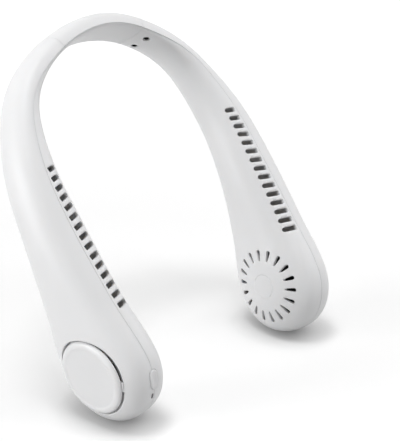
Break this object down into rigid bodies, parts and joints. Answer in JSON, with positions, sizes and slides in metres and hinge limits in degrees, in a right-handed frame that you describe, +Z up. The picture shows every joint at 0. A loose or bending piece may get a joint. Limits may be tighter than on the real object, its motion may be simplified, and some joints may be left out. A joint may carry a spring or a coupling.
{
  "type": "neck fan",
  "caption": "Hands-free neck fan: a slim U-shaped band that widens into two round tips, with outlet slots along the arms and an intake cap on each tip.",
  "frame": {"origin": "middle of the nape's inner face, where the fan rests on the back of the neck", "axes": "+Z up and +X from the left arm to the right arm. The U hangs down and is leaned 30 degrees, so the tips lie towards -Y, the wearer's front, and the outlet slots face -Y"},
  "size_m": [0.1806, 0.1311, 0.1904],
  "materials": {
    "shell_white": "satin",
    "cap_white": "satin",
    "button_white": "gloss",
    "inner_plastic": "matte",
    "charcoal_plastic": "matte",
    "smoked_plastic": "gloss",
    "steel": "satin",
    "screw_steel": "satin",
    "lamination_steel": "satin",
    "magnet": "matte",
    "bearing_bronze": "satin",
    "copper": "gloss",
    "cell_foil": "satin",
    "board_green": "satin",
    "wire_sheath": "matte"
  },
  "bodies": {
    "housing": {"nape_outer_cover": "shell_white", "nape_inner_cover": "shell_white", "left_arm_outer_shell": "shell_white", "left_arm_inner_shell": "shell_white", "right_arm_outer_shell": "shell_white", "right_arm_inner_shell": "shell_white", "left_intake_cap": "cap_white", "right_intake_cap": "cap_white", "left_shaft_bearings": "bearing_bronze", "right_shaft_bearings": "bearing_bronze", "left_motor_base": "inner_plastic", "right_motor_base": "inner_plastic", "left_stator_core": "lamination_steel", "right_stator_core": "lamination_steel", "left_stator_coils": "copper", "right_stator_coils": "copper", "left_battery_cell": "cell_foil", "right_battery_cell": "cell_foil", "left_duct_divider": "charcoal_plastic", "right_duct_divider": "charcoal_plastic", "control_board": "board_green", "charging_socket": "steel", "button_board": "board_green", "tactile_switch": "charcoal_plastic", "light_guide": "smoked_plastic", "wire_harness": "wire_sheath", "battery_leads": "wire_sheath", "left_motor_lead": "wire_sheath", "button_lead": "wire_sheath", "nape_screws": "screw_steel", "motor_screws": "screw_steel"},
    "left_rotor": {"left_impeller": "charcoal_plastic", "left_rotor_cup": "steel", "left_magnet_ring": "magnet", "left_motor_shaft": "steel"},
    "right_rotor": {"right_impeller": "charcoal_plastic", "right_rotor_cup": "steel", "right_magnet_ring": "magnet", "right_motor_shaft": "steel"},
    "button": {"power_button": "button_white"}
  },
  "joints": [
    {"name": "left_impeller_spin", "type": "hinge", "parent": "housing", "child": "left_rotor", "pos_m": [-0.07048, -0.08448, -0.14632], "axis": [-0.9936, -0.0566, -0.098], "continuous": true},
    {"name": "right_impeller_spin", "type": "hinge", "parent": "housing", "child": "right_rotor", "pos_m": [0.07048, -0.08448, -0.14632], "axis": [0.9936, -0.0566, -0.098], "continuous": true},
    {"name": "power_button_press", "type": "slide", "parent": "housing", "child": "button", "axis": [-0.0514, 0.9972, -0.0549], "range_m": [0, 0.0003], "stiffness_N_per_m": 800}
  ]
}
